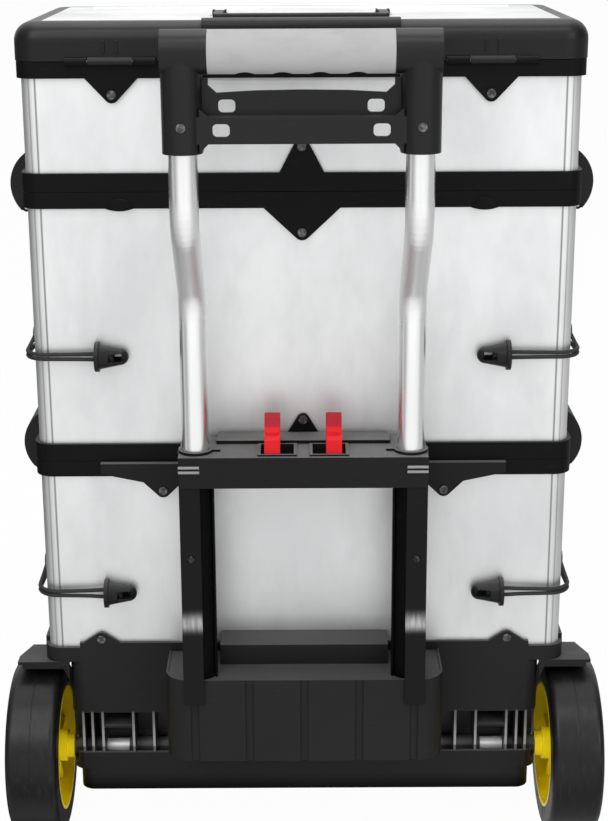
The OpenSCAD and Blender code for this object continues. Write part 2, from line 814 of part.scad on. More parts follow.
module yoke()
  color(black) difference() {
    union() {
      for (s = [-1, 1]) {
        translate([s * tube_x, -grip_out, yoke_z]) cylinder(r = arm_r, h = grip_z - yoke_z);
        translate([s * tube_x - arm_r, -grip_out, yoke_z]) cube([2 * arm_r, arm_r - 2, grip_z - yoke_z]);
      }
      for (s = [-1, 1])
        rod_x(grip_r + 0.2, s > 0 ? grip_x : -tube_x - arm_r + 0.5, s > 0 ? tube_x + arm_r - 0.5 : -grip_x,
          -grip_out, grip_z);
      rod_x(grip_r - 4, -tube_x, tube_x, -grip_out, grip_z);
      // proud lower plate
      on_rear(4, grip_out + 6) difference() {
        union() {
          translate([-plate_x - 4, yoke_z + 7.6]) square([2 * plate_x + 8, 19.4]);
          for (m = [0, 1]) mirror([m, 0, 0])
            polygon([[-plate_x, yoke_z + 8], [-plate_x, yoke_z + 1], [-plate_x + 7, yoke_z + 8],
              [-plate_x + 8, yoke_z + 26.5], [-plate_x, yoke_z + 33]]);
        }
        plate_slots(58.5, yoke_z + 17.5);
      }
      // recessed upper plate with an arched top
      on_rear(3.5, grip_out - 4) difference() {
        translate([-plate_x, yoke_z + 24]) square([2 * plate_x, 30]);
        translate([0, yoke_z + 44]) polygon([[-grip_x, 20], [-grip_x, 5], [-grip_x + 6, -0.5], [-grip_x / 2, 1],
          [0, 1.5], [grip_x / 2, 1], [grip_x - 6, -0.5], [grip_x, 5], [grip_x, 20]]);
        plate_slots(54.5, yoke_z + 34);
      }
      // shelf that joins the two plates
      translate([-plate_x, -grip_out - 10, yoke_z + 25]) cube([2 * plate_x, 14, 2]);
    }
    for (s = [-1, 1]) {
      translate([s * tube_x, -grip_out, yoke_z - cut]) cylinder(r = tube_r + run, h = socket_d + cut);
      rod_y(yoke_pin_r + run, -grip_out - arm_r - cut, -grip_out, s * tube_x, yoke_z + pin_rise);
    }
  }

module grip()
  color([0.72, 0.72, 0.72]) difference() {
    rod_x(grip_r, -grip_x + run, grip_x - run, -grip_out, grip_z);
    rod_x(grip_r - 4 + run, -grip_x - cut, grip_x + cut, -grip_out, grip_z);
    for (i = [-1.5:1.5])
      rod_y(15, -grip_out - 20, -grip_out + 20, i * grip_x * 0.4, grip_z - grip_r - 13);
  }

module yoke_pins()
  color(zinc) for (s = [-1, 1]) {
    rod_y(yoke_pin_r, -grip_out - arm_r, -grip_out - tube_r + tube_t + 1, s * tube_x, yoke_z + pin_rise);
    rod_y(yoke_pin_r + 1, -grip_out - arm_r - 1.2, -grip_out - arm_r, s * tube_x, yoke_z + pin_rise);
  }

// ---------- release levers ----------

module lever()
  color([0.92, 0.13, 0.14])
    translate([lever_x - lever_w / 2, 0, 0]) rotate([90, 0, 90]) linear_extrude(lever_w) {
      polygon([[lever_y + 1, cross_top - 16], [lever_y, cross_top + 1], [lever_y + 1.5, cross_top + 12],
        [lever_y + 5, cross_top + 14.5], [lever_y + 15, cross_top + 14.5], [lever_y + 21, cross_top + 26],
        [lever_y + 27, cross_top + 28], [lever_y + 31, cross_top + 26], [lever_y + 31, cross_top + 20],
        [lever_y + 24, cross_top + 4.5], [lever_y + 24, cross_top - 5], [lever_y + 22, cross_top - 16]]);
    }
module lever_right() lever();
module lever_left() mirror([1, 0, 0]) lever();

module lock_bar()
  color(zinc) translate([lever_x + lever_w / 2, -tube_out - 5, cross_z + 9])
    cube([tube_x - tube_r - 0.35 - lever_x - lever_w / 2, 10, 4]);
module lock_bar_right() lock_bar();
module lock_bar_left() mirror([1, 0, 0]) lock_bar();

// ---------- side latches ----------

module at_latch(z)
  translate([side_x, latch_y, z]) rotate([90, 0, 0]) children();

// Knuckles at both ends of a latch, on the frame that carries it
module latch_knuckles(z)
  sides() for (s = [-1, 1])
    translate([0, s * (latch_l / 2 + slide + knuckle_l / 2), 0]) at_latch(z)
      translate([0, 0, -knuckle_l / 2]) linear_extrude(knuckle_l) {
        translate([pivot_u, 0]) circle(pivot_r);
        polygon([[tab_gap - frame_out, pivot_drop + cut], [0, pivot_drop + cut],
          [pivot_u + pivot_r * 0.7, pivot_r * 0.7], [pivot_u - pivot_r * 0.6, -pivot_r * 0.8],
          [tab_gap - frame_out, -pivot_r * 0.8]]);
      }
module latch_bores(z)
  sides() rod_y(latch_pin_r + run, latch_y - latch_l / 2 - 20, latch_y + latch_l / 2 + 20,
    side_x + pivot_u, z);
module latch_pins(z)
  color(zinc) sides() rod_y(latch_pin_r, latch_y - latch_l / 2 - knuckle_l - 1,
    latch_y + latch_l / 2 + knuckle_l + 1, side_x + pivot_u, z);

// Crescent from below the pivot to the finger edge, in u and z
module crescent(in)
  intersection() {
    translate([latch_out - latch_R, latch_mid]) circle(latch_R - in);
    translate([0.8, -pivot_r]) square([latch_out, latch_h]);
  }

module latch(z)
  color(black) at_latch(z) difference() {
    union() {
      translate([0, 0, -latch_l / 2]) linear_extrude(latch_l) {
        difference() {
          crescent(0);
          crescent(latch_t);
        }
        translate([pivot_u, 0]) circle(pivot_r);
        // foot beside the pivot, and the claw over the catch
        intersection() {
          crescent(0);
          union() {
            translate([pivot_u, -pivot_r]) square([latch_out, claw_t]);
            translate([claw_u, claw_z]) square([latch_out, claw_t]);
          }
        }
      }
      for (s = [-1, 1])
        translate([0, 0, s * (latch_l / 2 - cheek_t / 2) - cheek_t / 2]) linear_extrude(cheek_t) crescent(0);
    }
    translate([pivot_u, 0, -latch_l]) cylinder(r = latch_pin_r + run, h = 2 * latch_l);
  }
// Catch on the frame above the seam, under the claw
module catches(z)
  sides() at_latch(z) translate([0, 0, -latch_l / 2 + 2 * cheek_t]) linear_extrude(latch_l - 4 * cheek_t)
    translate([-cut, claw_z - slide - catch_t]) square([cut + catch_u, catch_t]);

module latch_lower_right() latch(bin_pivot_z);
module latch_lower_left() mirror([1, 0, 0]) latch(bin_pivot_z);
module latch_upper_right() latch(cab_pivot_z);
module latch_upper_left() mirror([1, 0, 0]) latch(cab_pivot_z);
module bin_latch_pins() latch_pins(bin_pivot_z);
module cabinet_latch_pins() latch_pins(cab_pivot_z);

// ---------- cabinet ----------

module cabinet_sill()
  color(black) difference() {
    union() {
      sill(cab_z);
      translate([0, 0, cab_steel_z]) on_rear() tab(18.5, 26, 5);
      catches(bin_pivot_z);
    }
    screw_holes(cab_screws);
  }

module drawer_windows()
  for (i = [0, 1])
    translate([-open_w / 2, body_d - frame_in, drawer_z(i)]) cube([open_w, 2 * frame_in, open_h]);

module cabinet_shell()
  color(steel) difference() {
    wrap(cab_steel_z - seat_d, cab_rim_z + seat_d);
    drawer_windows();
  }

module cabinet_rim()
  color(black) difference() {
    union() {
      rim(cab_rim_z);
      slab(cab_rim_z + seat_d + 1, wall, -frame_in + 0.5);
      translate([0, 0, cab_rim_z]) on_rear() mirror([0, 1]) tab(31, 26.5, 7);
      for (s = [-1, 1]) finger_bump(s * bump_x, cab_rim_z);
      latch_knuckles(cab_pivot_z);
    }
    latch_bores(cab_pivot_z);
    screw_holes(cab_screws);
  }
// Shallow dome for a thumb, cut to a lens
module finger_bump(x, z)
  intersection() {
    translate([x, -frame_out + bump_R - bump_out, z + 2]) sphere(r = bump_R, $fn = 96);
    rod_y(bump_low_R, -frame_out - bump_out - cut, -frame_out + bump_out, x, z + bump_low_R - bump_below);
    rod_y(bump_top_R, -frame_out - bump_out - cut, -frame_out + bump_out, x, z + bump_above - bump_top_R);
  }

module cabinet_screws() screws(cab_screws);

// C-shaped runners on the cabinet's side walls
module drawer_runners()
  color(zinc) for (i = [0, 1], m = [0, 1]) mirror([m, 0, 0])
    translate([drawer_side + slide, 12, drawer_z(i) + open_h / 2 - runner_h]) difference() {
      cube([body_w / 2 - sheet_t - drawer_side - slide, body_d - 24, 2 * runner_h]);
      translate([-cut, -cut, (2 * runner_h - runner_h) / 2 - slide])
        cube([runner_w + cut + slide, body_d, runner_h + 2 * slide]);
      translate([runner_w + 3, -cut, 2]) cube([body_w, body_d, 2 * runner_h - 4]);
    }

module drawer(i) {
  z = drawer_z(i);
  y1 = body_d + slide;
  h = open_h - 12;
  color(steel) difference() {
    union() {
      translate([-drawer_side, y1 - drawer_l, z + 4]) cube([2 * drawer_side, drawer_l, h]);
      for (m = [0, 1]) mirror([m, 0, 0])
        translate([drawer_side - cut, y1 - drawer_l, z + open_h / 2 - runner_h / 2])
          cube([runner_w + cut, drawer_l - 14, runner_h]);
      translate([-open_w / 2 - face_lap, y1, z - face_lap]) cube([open_w + 2 * face_lap, face_t, open_h + 2 * face_lap]);
    }
    translate([-drawer_side + drawer_t, y1 - drawer_l + drawer_t, z + 4 + drawer_t])
      cube([2 * (drawer_side - drawer_t), drawer_l - drawer_t, open_h]);
  }
}
module drawer_lower() drawer(0);
module drawer_upper() drawer(1);

module drawer_pull(i)
  color(black) translate([-pull_w / 2, body_d + slide + face_t, drawer_z(i) + open_h - pull_drop])
    rotate([90, 0, 90]) linear_extrude(pull_w)
      polygon([[0, 0], [0, pull_h], [pull_out - 3, pull_h], [pull_out, pull_h - 3], [pull_out, 2], [pull_out - 3, 2],
        [pull_out - 4, pull_h - 6], [pull_out - 7, pull_h - 5], [pull_out - 8, 0]]);
module drawer_lower_pull() drawer_pull(0);
module drawer_upper_pull() drawer_pull(1);

// ---------- tool box ----------

module toolbox_sill()
  color(black) difference() {
    union() {
      sill(box_z);
      translate([0, 0, box_steel_z]) on_rear() tab(18, 28, 5.5);
      catches(cab_pivot_z);
    }
    screw_holes(box_screws);
  }

module toolbox_shell()
  color(steel) wrap(box_steel_z - seat_d, box_rim_z + seat_d);

module knuckle(x0, x1, up)
  difference() {
    union() {
      rod_x(barrel_r, x0, x1, hinge_y, hinge_z);
      translate([x0, hinge_y, up ? hinge_z + 0.6 : hinge_z - barrel_r])
        cube([x1 - x0, -hinge_y - 2, barrel_r - 0.6]);
    }
    rod_x(hinge_pin_r + run, x0 - cut, x1 + cut, hinge_y, hinge_z);
  }

// Room in the rim for the lid's knuckles to turn
module hinge_room(up)
  for (m = [0, 1]) mirror([m, 0, 0])
    if (up) rod_x(barrel_r + slide, hinge_x - knuckle_w - slide, hinge_x + knuckle_w + slide, hinge_y, hinge_z);
    else for (e = [-1, 1])
      rod_x(barrel_r + slide, hinge_x + e * 1.5 * knuckle_w - knuckle_w / 2 - slide,
        hinge_x + e * 1.5 * knuckle_w + knuckle_w / 2 + slide, hinge_y, hinge_z);

module toolbox_rim()
  color(black) difference() {
    union() {
      difference() {
        union() {
          rim(box_rim_z);
          // shelf that carries the tray
          ring(box_rim_z, 2.5, -frame_in + 0.5, tray_in);
          for (s = [-1, 1]) translate([s * hinge_x, 0, box_rim_z]) on_rear()
            mirror([0, 1]) tab(21, 19.5, 6);
        }
        hinge_room(true);
      }
      for (m = [0, 1], e = [-1, 1]) mirror([m, 0, 0])
        knuckle(hinge_x + e * 1.5 * knuckle_w - knuckle_w / 2, hinge_x + e * 1.5 * knuckle_w + knuckle_w / 2, false);
    }
    screw_holes(box_screws);
  }

module toolbox_screws() screws(box_screws);

module hinge_pins()
  color(zinc) sides()
    rod_x(hinge_pin_r, hinge_x - hinge_w / 2, hinge_x + hinge_w / 2, hinge_y, hinge_z);

module tray()
  color([0.2, 0.2, 0.21]) {
    z = box_rim_z + 2.5;
    difference() {
      union() {
        translate([0, 0, z]) linear_extrude(tray_flange_h)
          plan(body_w - 2 * (frame_in + tray_gap), body_d - 2 * (frame_in + tray_gap), tray_corner_r);
        slab(z - tray_d, tray_d + cut, -tray_in - slide);
      }
      difference() {
        translate([0, 0, z - tray_d + 2]) linear_extrude(tray_d + rim_h) outline(-tray_in - slide - 2);
        // partitions
        translate([-1 - 60, 0, z - tray_d]) cube([2, body_d, tray_d - 4]);
        translate([-1 + 60, 0, z - tray_d]) cube([2, body_d, tray_d - 4]);
        translate([-body_w / 2, mid_y - 8, z - tray_d]) cube([body_w, 16, tray_d + 2]);
      }
      // finger space under the tray's grip
      translate([-50, mid_y - 6, z - tray_d - cut]) cube([100, 12, tray_d - 3]);
    }
  }

// ---------- lid ----------

// Half width w and height h of a block with one rounded upper edge
module crown_half(w, h, r) {
  square([w, h - r]);
  square([w - r, h]);
  translate([w - r, h - r]) circle(r);
}
module crown(w, h, r)
  for (m = [0, 1]) mirror([m, 0]) crown_half(w / 2, h, r);

// Lid's outside; or its hollow, one wall further in
module lid_solid(in) {
  w = body_w + 2 * (lid_out - in);
  d = body_d + 2 * (lid_out - in);
  r = lid_corner_r - in;
  translate([0, mid_y, lid_z]) {
    for (sx = [-1, 1], sy = [-1, 1]) translate([sx * (w / 2 - r), sy * (d / 2 - r), 0])
      rotate_extrude() intersection() {
        crown_half(r, lid_h - in, lid_r - in);
        square([r, lid_h]);
      }
    rotate([90, 0, 0]) linear_extrude(d - 2 * r, center = true) crown(w, lid_h - in, lid_r - in);
    rotate([90, 0, 90]) linear_extrude(w - 2 * r, center = true) crown(d, lid_h - in, lid_r - in);
  }
}

module lid_frame()
  color(black) difference() {
    union() {
      difference() {
        union() {
          difference() {
            lid_solid(0);
            translate([0, 0, -cut]) lid_solid(wall);
          }
          // raised pad at the rear edge
          translate([-pad_w / 2, -lid_out - pad_proud, lid_top]) rotate([90, 0, 90]) linear_extrude(pad_w)
            polygon(concat([[pad_l, pad_h - 0.6], [pad_l, -2], [wall, -2], [wall, -pad_drop], [0, -pad_drop]],
              [for (a = [0:15:90]) [pad_r - pad_r * cos(a), pad_h - pad_r + pad_r * sin(a)]]));
        }
        // seat of the plate
        slab(lid_top - plate_t, lid_h, -plate_in + fit);
      }
      for (m = [0, 1]) mirror([m, 0, 0]) {
        knuckle(hinge_x - knuckle_w + slide, hinge_x + knuckle_w - slide, true);
        // twin ribs over each hinge
        for (e = [-1, 1]) translate([hinge_x + e * 5 - 1, -lid_out - 0.8, lid_z + 6]) cube([2, 3, 10]);
      }
      clasp_knuckles();
      brackets();
    }
    hinge_room(false);
    clasp_bores();
    bracket_bores();
  }

module lid_plate()
  color(steel) difference() {
    union() {
      slab(lid_top - plate_t, plate_t, -plate_in);
      // pressed ribs near the front edge
      for (y = [body_d - 30, body_d - 42])
        translate([-body_w / 2 + 40, y, lid_top - cut / 2]) cube([body_w - 80, 3, 0.8 + cut / 2]);
    }
    // slot across the plate
    translate([-plate_slot_x, plate_slot_y, lid_top - plate_t - cut]) cube([2 * plate_slot_x, plate_slot_w, plate_t + 2 * cut]);
    for (s = [-1, 1]) translate([s * handle_hx, handle_hy, lid_top])
      cube([bracket_w + 2 * fit, bracket_l + 2 * fit, 4 * plate_t], center = true);
  }

// Brackets and folding handle on the lid
module brackets()
  for (s = [-1, 1]) translate([s * handle_hx, handle_hy, lid_top - plate_t - cut]) {
    for (e = [-1, 1])
      translate([e * (arm_w / 2 + slide + bracket_t / 2) - bracket_t / 2, -bracket_l / 2, 0])
        cube([bracket_t, bracket_l, cut + plate_t + bracket_h]);
    translate([-bracket_w / 2, -bracket_l / 2, 0]) cube([bracket_w, bracket_l, cut + plate_t - 0.4]);
  }
module bracket_bores()
  for (s = [-1, 1])
    rod_x(handle_pin_r + run, s * handle_hx - bracket_w, s * handle_hx + bracket_w, handle_hy, handle_z);
module carry_handle_pins()
  color(zinc) for (s = [-1, 1])
    rod_x(handle_pin_r, s * handle_hx - bracket_w / 2 + cut, s * handle_hx + bracket_w / 2 - cut, handle_hy, handle_z);
module carry_handle()
  color(black) difference() {
    union() {
      for (s = [-1, 1]) {
        rod_x(handle_t / 2 + 0.1, s * handle_hx - arm_w / 2, s * handle_hx + arm_w / 2, handle_hy, handle_z);
        translate([s * handle_hx - arm_w / 2, handle_hy - handle_l, handle_z - handle_t / 2])
          cube([arm_w, handle_l, handle_t]);
      }
      // flat bar with round edges
      translate([-handle_hx - arm_w / 2, handle_hy - handle_l - 3, handle_z - handle_t / 2])
        cube([2 * handle_hx + arm_w, 6, handle_t]);
      for (e = [-1, 1])
        rod_x(handle_t / 2 - 0.02, -handle_hx - arm_w / 2 + cut, handle_hx + arm_w / 2 - cut, handle_hy - handle_l + 3 * e, handle_z);
    }
    bracket_bores();
  }

// ---------- front latches ----------

module clasp_knuckles()
  for (s = [-1, 1], e = [-1, 1])
    translate([s * clasp_x + e * (clasp_w / 2 + slide + 3) - 3, 0, 0]) rotate([90, 0, 90]) linear_extrude(6) {
      translate([clasp_y, clasp_z]) circle(clasp_r);
      translate([body_d + lid_out - 1.5, clasp_z - clasp_r]) square([clasp_y - body_d - lid_out + 1.5, 2 * clasp_r]);
    }
module clasp_bores()
  for (s = [-1, 1])
    rod_x(clasp_pin_r + run, s * clasp_x - clasp_w, s * clasp_x + clasp_w, clasp_y, clasp_z);
module clasp_pins()
  color(zinc) for (s = [-1, 1])
    rod_x(clasp_pin_r, s * clasp_x - clasp_w / 2 - 6, s * clasp_x + clasp_w / 2 + 6, clasp_y, clasp_z);
module clasp()
  color(black) difference() {
    translate([clasp_x - clasp_w / 2, 0, 0]) rotate([90, 0, 90]) linear_extrude(clasp_w) {
      translate([clasp_y, clasp_z]) circle(clasp_r);
      translate([clasp_y - 1, clasp_z - 26]) square([4, 26]);
      // claw and finger edge
      translate([body_d + frame_out + 1, clasp_z - 20]) square([clasp_y - body_d - frame_out - 1, 3]);
      translate([clasp_y - 1, clasp_z - 27]) square([7, 3]);
    }
    rod_x(clasp_pin_r + run, -body_w, body_w, clasp_y, clasp_z);
  }
module clasp_right() clasp();
module clasp_left() mirror([1, 0, 0]) clasp();

// ---------- elastic cords ----------

// Tapered horn that holds a cord's knot; its flange faces the box's corner
module anchor(z, gap)
  difference() {
    translate([0, -cord_out, z]) rotate([0, 90, 0]) difference() {
      union() {
        translate([0, 0, anchor_x - 3.5]) cylinder(r = 12.5, h = 3.5);
        translate([0, 0, anchor_x - anchor_l + 7]) cylinder(r1 = 7, r2 = 10.5, h = anchor_l - 7 - 3);
        translate([0, 0, anchor_x - anchor_l + 7]) sphere(r = 7);
      }
      translate([0, 0, anchor_x - anchor_l + 6]) cylinder(r = 6.2, h = anchor_l - 10.5);
      // slot for the two strands
      for (e = [-1, 1]) translate([e * gap, 0, anchor_x - 6]) cylinder(r = cord_d / 2 + 0.3, h = 7);
      translate([0, 0, anchor_x - 2.5]) cube([2 * gap, cord_d, 7], center = true);
      // mouth through which the knot is pushed
      translate([-3.6, -20, anchor_x - anchor_l + 4]) cube([7.2, 20, 12]);
    }
    translate([0, 0, z - 20]) cube([body_w, 40, 40]);
  }

// Peg and plate on the side wall, inside the cord's loop
module hook(z)
  translate([body_w / 2, hook_y, z]) rotate([0, 90, 0]) {
    cylinder(r = 7.5, h = 1.5);
    cylinder(r = loop_r - cord_d / 2 - 0.2, h = cord_out + 2);
    translate([0, 0, cord_out + 2.2]) cylinder(r = 7, h = 1.8);
  }

// The cord's route: points, each with the direction that faces away from the box
function cord_half(z, gap, e) = concat(
  [[[anchor_x - 9, -cord_out, z + e * gap], [0, -1, 0]],
   [[anchor_x + 3, -cord_out, z + e * gap], [0, -1, 0]],
   [[anchor_x + 14, -cord_out, z + e * (gap + pinch) / 2], [0, -1, 0]]],
  [for (a = [0:15:90])
    [[body_w / 2 - corner_r + (corner_r + cord_out) * sin(a), corner_r - (corner_r + cord_out) * cos(a),
      z + e * pinch], [sin(a), -cos(a), 0]]],
  [[[body_w / 2 + cord_out, corner_r + 15, z + e * (pinch + 0.6)], [1, 0, 0]],
   [[body_w / 2 + cord_out, hook_y - 6, z + e * loop_r], [1, 0, 0]]]);
function reversed(p) = [for (i = [len(p) - 1:-1:0]) p[i]];
function cord_route(z, gap) = concat(
  cord_half(z, gap, -1),
  [for (a = [-90:22.5:90])
    [[body_w / 2 + cord_out, hook_y + loop_r * cos(a), z + loop_r * sin(a)], [1, 0, 0]]],
  reversed(cord_half(z, gap, 1)));

// Tube of round section swept along a route
module sweep(route, r, sides = 8) {
  n = len(route);
  points = [for (i = [0:n - 1])
    let (step = route[min(i + 1, n - 1)][0] - route[max(i - 1, 0)][0], t = step / norm(step),
         u = route[i][1], v = cross(t, u))
    for (k = [0:sides - 1]) route[i][0] + r * (u * cos(k * 360 / sides) + v * sin(k * 360 / sides))];
  walls = [for (i = [0:n - 2], k = [0:sides - 1])
    [i * sides + k, (i + 1) * sides + k, (i + 1) * sides + (k + 1) % sides, i * sides + (k + 1) % sides]];
  ends = [[for (k = [0:sides - 1]) k], [for (k = [sides - 1:-1:0]) (n - 1) * sides + k]];
  polyhedron(points, concat(walls, ends), convexity = 6);
}

module cord(z, gap) {
  sweep(cord_route(z, gap), cord_d / 2);
  rod_x(5.4, anchor_x - 14, anchor_x - 8, -cord_out, z);
}

module cord_anchors_cabinet()
  color(black) sides() {
    anchor(cabinet_cord_z, cabinet_gap);
    hook(cabinet_cord_z);
  }
module cord_anchors_bin()
  color(black) sides() {
    anchor(bin_cord_z, bin_gap);
    hook(bin_cord_z);
  }
module cords_cabinet() color([0.1, 0.1, 0.1]) sides() cord(cabinet_cord_z, cabinet_gap);
module cords_bin() color([0.1, 0.1, 0.1]) sides() cord(bin_cord_z, bin_gap);

// ---------- output ----------
y_shift = -(clasp_y + 6 - grip_out - grip_r - 0.4) / 2;
module placed() translate([0, y_shift, 0]) children();

placed() base();
placed() foot_pads();
placed() bin_shell();
placed() bin_rim();
placed() bin_screws();
placed() fender_left();
placed() fender_right();
placed() axle();
placed() axle_caps();
placed() hub_left();
placed() tyre_left();
placed() hub_right();
placed() tyre_right();
placed() crossbar();
placed() leg_left();
placed() leg_right();
placed() leg_straps();
placed() tube_collars();
placed() tube_left();
placed() tube_right();
placed() tube_plugs();
placed() yoke();
placed() grip();
placed() yoke_pins();
placed() lever_left();
placed() lever_right();
placed() lock_bar_left();
placed() lock_bar_right();
placed() cabinet_sill();
placed() cabinet_shell();
placed() cabinet_rim();
placed() cabinet_screws();
placed() drawer_runners();
placed() drawer_lower();
placed() drawer_lower_pull();
placed() drawer_upper();
placed() drawer_upper_pull();
placed() toolbox_sill();
placed() toolbox_shell();
placed() toolbox_rim();
placed() toolbox_screws();
placed() tray();
placed() hinge_pins();
placed() lid_frame();
placed() lid_plate();
placed() carry_handle();
placed() carry_handle_pins();
placed() clasp_left();
placed() clasp_right();
placed() clasp_pins();
placed() latch_upper_left();
placed() latch_upper_right();
placed() latch_lower_left();
placed() latch_lower_right();
placed() cabinet_latch_pins();
placed() bin_latch_pins();
placed() cord_anchors_cabinet();
placed() cord_anchors_bin();
placed() cords_cabinet();
placed() cords_bin();
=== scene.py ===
"""Rolling tool box: finishes, small pieces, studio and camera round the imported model."""
import json
import math

import bmesh
import bpy
from mathutils import Matrix, Vector


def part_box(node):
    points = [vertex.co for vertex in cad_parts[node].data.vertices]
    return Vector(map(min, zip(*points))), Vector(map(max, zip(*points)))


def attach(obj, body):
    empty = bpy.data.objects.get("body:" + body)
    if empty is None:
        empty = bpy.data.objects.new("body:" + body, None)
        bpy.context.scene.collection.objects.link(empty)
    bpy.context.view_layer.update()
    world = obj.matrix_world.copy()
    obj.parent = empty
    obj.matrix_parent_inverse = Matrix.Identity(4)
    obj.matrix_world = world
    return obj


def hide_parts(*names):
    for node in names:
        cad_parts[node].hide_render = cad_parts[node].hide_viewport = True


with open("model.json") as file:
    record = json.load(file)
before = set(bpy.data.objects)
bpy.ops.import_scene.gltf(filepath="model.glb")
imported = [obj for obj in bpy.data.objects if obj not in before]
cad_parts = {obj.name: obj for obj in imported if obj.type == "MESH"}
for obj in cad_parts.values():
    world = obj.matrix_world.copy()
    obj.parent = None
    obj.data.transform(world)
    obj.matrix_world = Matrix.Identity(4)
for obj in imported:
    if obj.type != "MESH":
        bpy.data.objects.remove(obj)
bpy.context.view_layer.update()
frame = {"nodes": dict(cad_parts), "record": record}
nodes = frame["nodes"]
scene = bpy.context.scene
MM = 0.001


# ---------- camera and studio ----------

CAMERA_PLACE = Vector((0, -1.4032, 0.8011))
CAMERA_TILT = math.radians(16.77)
CAMERA_ROLL = math.radians(-0.28)
LENS = 74.19
SENSOR = 36
# sideways shift of the lens, as a share of the view's longer side
FRAME_SHIFT = 1 / 821


def make_camera():
    """A long lens a little above the lid, looking down on the handle side."""
    data = bpy.data.cameras.new("camera")
    data.lens = LENS
    data.sensor_width = SENSOR
    data.shift_x = FRAME_SHIFT
    data.clip_end = 100
    camera = bpy.data.objects.new("camera", data)
    scene.collection.objects.link(camera)
    tilt = Matrix.Rotation(math.pi / 2 - CAMERA_TILT, 4, "X")
    roll = Matrix.Rotation(CAMERA_ROLL, 4, "Z")
    camera.matrix_world = Matrix.Translation(CAMERA_PLACE) @ tilt @ roll
    scene.camera = camera


class Wire:
    """An output of a node; Python's operators on it add Math nodes."""

    def __init__(self, tree, socket):
        self.tree = tree
        self.socket = socket

    def math(self, operation, *others):
        return self.tree.node("Math", {"operation": operation}, self, *others)[0]

    def __add__(self, other):
        return self.math("ADD", other)

    __radd__ = __add__

    def __sub__(self, other):
        return self.math("SUBTRACT", other)

    def __rsub__(self, other):
        return self.tree.node("Math", {"operation": "SUBTRACT"}, other, self)[0]

    def __mul__(self, other):
        return self.math("MULTIPLY", other)

    __rmul__ = __mul__

    def __abs__(self):
        return self.math("ABSOLUTE")

    def step(self, low, high, at_low=0.0, at_high=1.0):
        """A smooth ramp from at_low, where this is low, to at_high, where it is high."""
        return self.tree.node(
            "MapRange", {"interpolation_type": "SMOOTHSTEP"}, self, low, high, at_low, at_high)[0]

    def steps(self, *ramps):
        """The product of several ramps, each given as step() takes it."""
        made = self.step(*ramps[0])
        for ramp in ramps[1:]:
            made = made * self.step(*ramp)
        return made


class Outputs:
    """The outputs of one node, by place or name."""

    def __init__(self, tree, node):
        self.tree = tree
        self.made = node

    def __getitem__(self, key):
        return Wire(self.tree, self.made.outputs[key])


class Tree:
    """A node tree that is built with node()."""

    def __init__(self, tree):
        self.tree = tree
        tree.nodes.clear()

    def node(self, kind, settings=None, *places, **names):
        """Adds a node. settings come first, then input values or wires by place or by name."""
        made = self.tree.nodes.new("ShaderNode" + kind)
        for key, value in (settings or {}).items():
            setattr(made, key, value)
        inputs = list(enumerate(places))
        inputs += [(name.replace("_", " "), value) for name, value in names.items()]
        for key, value in inputs:
            if value is not None:
                self.put(made.inputs[key], value)
        return Outputs(self, made)

    def put(self, socket, value):
        """Gives an input a wire or a fixed value."""
        if isinstance(value, Wire):
            self.tree.links.new(value.socket, socket)
        else:
            socket.default_value = value

    def axes(self, place):
        """The X, Y and Z of a place or a direction."""
        return self.node("SeparateXYZ", {}, place)

    def facing(self):
        """The X, Y and Z of the surface's direction."""
        return self.axes(self.node("NewGeometry")["Normal"])

    def blend(self, share, first, second):
        """Mix of two colours."""
        mix = self.node("Mix", {"data_type": "RGBA"})
        self.put(mix.made.inputs[0], share)
        self.put(mix.made.inputs[6], first)
        self.put(mix.made.inputs[7], second)
        return Wire(self, mix.made.outputs[2])

    def noise(self, place, scale, detail=3.0, stretch=(1, 1, 1), roughness=0.5):
        """Noise from 0 to 1 whose blots are about 1 / scale metres, stretched along the axes."""
        scaled = self.node("VectorMath", {"operation": "MULTIPLY"}, place, stretch)[0]
        made = self.node("TexNoise", {}, Vector=scaled, Scale=scale, Detail=detail, Roughness=roughness)
        return made["Fac"]


def grey(value):
    """An even grey, as a colour."""
    return (value, value, value, 1)


# strength of the sky as a light, and as glossy surfaces find it at both sides
WORLD_FILL = 0.5
SIDE_SKY = 0.2


def make_world():
    """White to the camera and to glossy surfaces, dimmer as a light."""
    world = bpy.data.worlds.new("studio")
    scene.world = world
    world.use_nodes = True
    tree = Tree(world.node_tree)
    ray = tree.node("LightPath")
    seen = ray["Is Camera Ray"].math("MAXIMUM", ray["Is Transmission Ray"])
    side = abs(tree.axes(tree.node("TexCoord")["Generated"])[0]).step(0.55, 0.95, 1.0, SIDE_SKY)
    shiny = ray["Is Glossy Ray"] * side
    plain = (1 - seen) * (1 - ray["Is Glossy Ray"]) * WORLD_FILL
    sky = tree.node("Background", {}, grey(1), seen.math("MAXIMUM", shiny) + plain)[0]
    tree.node("OutputWorld", {}, sky)


FLOOR_SIZE = 80
FLOOR_PAINT = 0.86
# share of the object's shadow that the camera sees
SHADOW = 0.03
# light that dull surfaces get from the floor
FLOOR_BOUNCE = 1.2
# What glossy surfaces find of the floor, as ramps over the turn round x = 0, y = ROUND_Y, in radians:
# nought is towards the camera, and left is negative
ROUND_Y = -0.1
LEFT_FLAG = ((-1.05, -0.6, 0.42, 1.0), (-1.75, -1.4, 0.25, 1.0))
RIGHT_FLAG = ((0.75, 1.3, 1.0, 0.55), (2.1, 2.6, 1.0, 0.4))
STRIP = ((-1.6, -1.5, 0.0, 1.0), (-1.4, -1.3, 1.0, 0.0))
STRIP_LIGHT = 0.3


